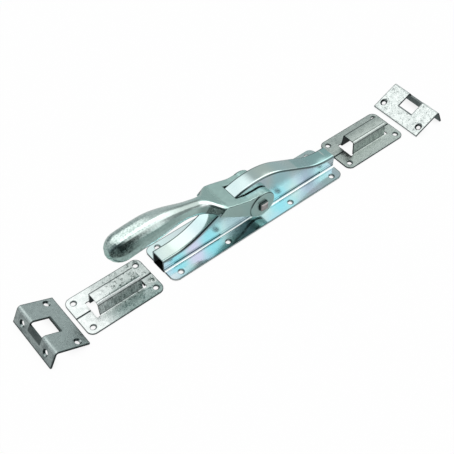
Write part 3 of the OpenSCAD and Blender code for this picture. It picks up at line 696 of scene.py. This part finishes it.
# The studio: a white floor with painted shade in rectangles under the open pieces, bright
# windows high behind, overhead and to the right, dim pale walls low at the left, a dark corner
# where the camera stands, and one strip lamp overhead. The camera stands above the left front.
def white_floor(shaded):
    """Paper white to the camera and dimmed near the pieces as their contact shadow, grey in the metal, with
    painted shade in these rectangles, and clear from below.
    """
    made = bpy.data.materials.new("white floor")
    made.use_nodes = True
    tree = made.node_tree
    tree.nodes.clear()
    path = tree.nodes.new("ShaderNodeLightPath").outputs
    mirrored = either(tree, path["Is Glossy Ray"], path["Is Transmission Ray"])
    open_sky = put(tree, "ShaderNodeAmbientOcclusion", Distance=0.012).outputs["AO"]
    paper = span(tree, open_sky, 0.0, 1.0, 0.80, 0.99)
    found = tree.nodes.new("ShaderNodeTexCoord").outputs["Object"]
    spot = put(tree, "ShaderNodeSeparateXYZ", i0=found).outputs
    # painted shade: inside these rectangles the floor is dark to the camera and in the metal
    under = 0.0
    for mid_x, mid_y, half_x, half_y in shaded:
        off_x = apart(tree, spot["X"], mid_x)
        off_y = apart(tree, spot["Y"], mid_y)
        inside = times(tree, calc(tree, "LESS_THAN", off_x, half_x), calc(tree, "LESS_THAN", off_y, half_y))
        under = either(tree, under, inside)
    straight = times(tree, path["Is Camera Ray"], paper, calc(tree, "SUBTRACT", 1.0, under))
    seen = either(tree, straight, times(tree, mirrored, 0.15))
    grey = tinted(tree, under, (0.6, 0.6, 0.6, 1), (0.02, 0.02, 0.02, 1))
    matt = put(tree, "ShaderNodeBsdfDiffuse", Color=grey)
    glow = put(tree, "ShaderNodeEmission", Color=(1, 1, 1, 1), Strength=1.0)
    both = put(tree, "ShaderNodeMixShader", i0=seen, i1=matt.outputs[0], i2=glow.outputs[0])
    below = tree.nodes.new("ShaderNodeNewGeometry").outputs["Backfacing"]
    clear = tree.nodes.new("ShaderNodeBsdfTransparent")
    one_sided = put(tree, "ShaderNodeMixShader", i0=below, i1=both.outputs[0], i2=clear.outputs[0])
    end = tree.nodes.new("ShaderNodeOutputMaterial")
    tree.links.new(one_sided.outputs[0], end.inputs["Surface"])
    return made


floor_half = 6.0
floor_mesh = bpy.data.meshes.new("floor")
floor_corners = [(-1, -1), (1, -1), (1, 1), (-1, 1)]
floor_mesh.from_pydata([(x * floor_half, y * floor_half, 0) for x, y in floor_corners], [], [(0, 1, 2, 3)])
floor = bpy.data.objects.new("floor", floor_mesh)
bpy.context.scene.collection.objects.link(floor)
floor.location.z = -0.0002
seam = 0.002
# rectangles of painted shade under the case and at the seams and a relief of the guides
case_shade = [(0.0, 0.0, 0.1262, 0.0092)]
left_shade = [(-0.2233, -0.0024, 0.0090, seam), (-0.1443, -0.0024, 0.0070, seam),
              (-0.1519, -0.0045, 0.0009, 0.0065)]
right_shade = [(0.1463, -0.0002, 0.0090, seam), (0.2253, -0.0002, 0.0070, seam)]
floor_mesh.materials.append(white_floor(case_shade + left_shade + right_shade))

world = bpy.data.worlds.new("studio")
bpy.context.scene.world = world
world.use_nodes = True
sky = world.node_tree
sky.nodes.clear()
look = sky.nodes.new("ShaderNodeTexCoord").outputs["Generated"]
way = put(sky, "ShaderNodeSeparateXYZ", i0=look).outputs
tone = tinted(sky, span(sky, way["X"], -0.3, 0.45), (0.15, 0.19, 0.20, 1), (0.42, 0.47, 0.47, 1))
for aim, inner, outer, colour in (
        ((-0.64, 0.62, 0.36), 12, 34, (0.44, 0.49, 0.49, 1)),  # pale wall, left behind
        ((-0.68, -0.62, 0.30), 12, 30, (0.32, 0.37, 0.37, 1)),  # pale wall, left front
        ((-0.08, 0.58, 0.81), 18, 33, (1.16, 1.20, 1.19, 1)),  # broad window, high behind
        ((0.28, 0.16, 0.95), 7, 22, (1.10, 1.14, 1.13, 1)),  # small window, overhead
        ((0.78, 0.00, 0.62), 17, 28, (1.50, 1.54, 1.52, 1)),  # brightest window, right
        ((0.44, -0.38, 0.81), 12, 27, (1.12, 1.16, 1.15, 1)),  # window, high front right
        ((0.50, -0.76, 0.42), 8, 19, (1.10, 1.15, 1.15, 1)),  # narrow window, low front right
        ((-0.20, -0.78, 0.59), 16, 34, (0.05, 0.07, 0.07, 1))):  # dark corner, by the camera
    aim = Vector(aim).normalized()
    towards = put(sky, "ShaderNodeVectorMath", {"operation": "DOT_PRODUCT"}, i0=look, i1=aim)
    edge, full = math.cos(math.radians(outer)), math.cos(math.radians(inner))
    lobe = span(sky, towards.outputs["Value"], edge, full)
    tone = tinted(sky, lobe, tone, colour)
sky_path = sky.nodes.new("ShaderNodeLightPath").outputs["Is Camera Ray"]
lit = put(sky, "ShaderNodeBackground", Color=tone, Strength=1.0)
white = put(sky, "ShaderNodeBackground", Color=(1, 1, 1, 1), Strength=1.0)
sky_mix = put(sky, "ShaderNodeMixShader", i0=sky_path, i1=lit.outputs[0], i2=white.outputs[0])
sky_end = sky.nodes.new("ShaderNodeOutputWorld")
sky.links.new(sky_mix.outputs[0], sky_end.inputs["Surface"])

strip = bpy.data.lights.new("overhead strip", "AREA")
strip.shape = "RECTANGLE"
strip.size = 1.4
strip.size_y = 0.34
strip.energy = 1.0
strip_lamp = bpy.data.objects.new("overhead strip", strip)
bpy.context.scene.collection.objects.link(strip_lamp)
strip_lamp.location = (0.05, 0.03, 1.1)

camera_data = bpy.data.cameras.new("camera")
camera_data.sensor_width = 36.0
camera_data.lens = 66.12
camera = bpy.data.objects.new("camera", camera_data)
bpy.context.scene.collection.objects.link(camera)
right = Vector((0.7730, -0.6344, 0.0055))
back = Vector((-0.4121, -0.4954, 0.7647)).normalized()
right = (right - back * right.dot(back)).normalized()
up = back.cross(right)
turn = Matrix((right, up, back)).transposed()
camera.matrix_world = Matrix.Translation((-0.4199, -0.4687, 0.7188)) @ turn.to_4x4()
bpy.context.scene.camera = camera
bpy.context.scene.view_settings.view_transform = "Standard"
